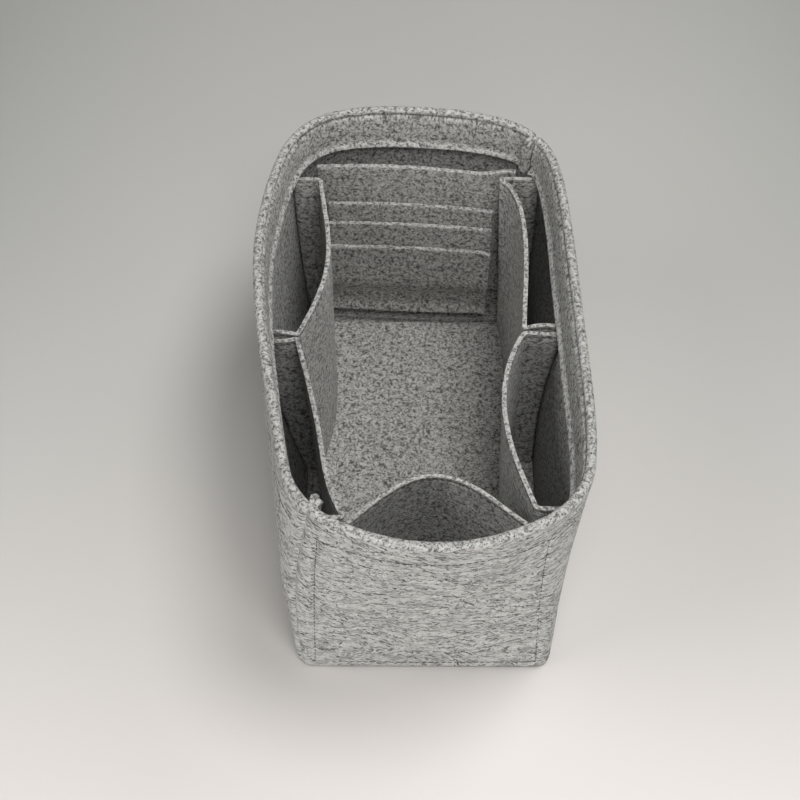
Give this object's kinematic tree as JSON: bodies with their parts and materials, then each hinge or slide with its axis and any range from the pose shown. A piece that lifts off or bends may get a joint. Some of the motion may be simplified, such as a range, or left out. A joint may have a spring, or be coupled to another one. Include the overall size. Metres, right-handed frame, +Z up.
{
  "type": "purse organizer insert",
  "caption": "Soft felt tub with a folded rim hem, pleated side pockets, a bowed front pocket and a card panel, made to divide the inside of a handbag.",
  "frame": {"origin": "middle of the base, on its underside", "axes": "+Z up, +Y from the front wall towards the card panel, +X to the right seen from the front"},
  "size_m": [0.1614, 0.2799, 0.134],
  "materials": {
    "wall_felt": "light grey mottled needle felt, matt and fuzzy",
    "pocket_felt": "light grey mottled needle felt, matt and fuzzy",
    "thread": "grey sewing thread"
  },
  "bodies": {
    "root": {"wall_front_right": "wall_felt", "wall_left_back": "wall_felt", "base_panel": "wall_felt", "floor_pad": "pocket_felt", "left_pocket_strip": "pocket_felt", "right_pocket_strip": "pocket_felt", "front_pocket": "pocket_felt", "card_panel": "pocket_felt", "card_slot_rear": "pocket_felt", "card_slot_middle": "pocket_felt", "card_slot_front": "pocket_felt"}
  },
  "joints": []
}
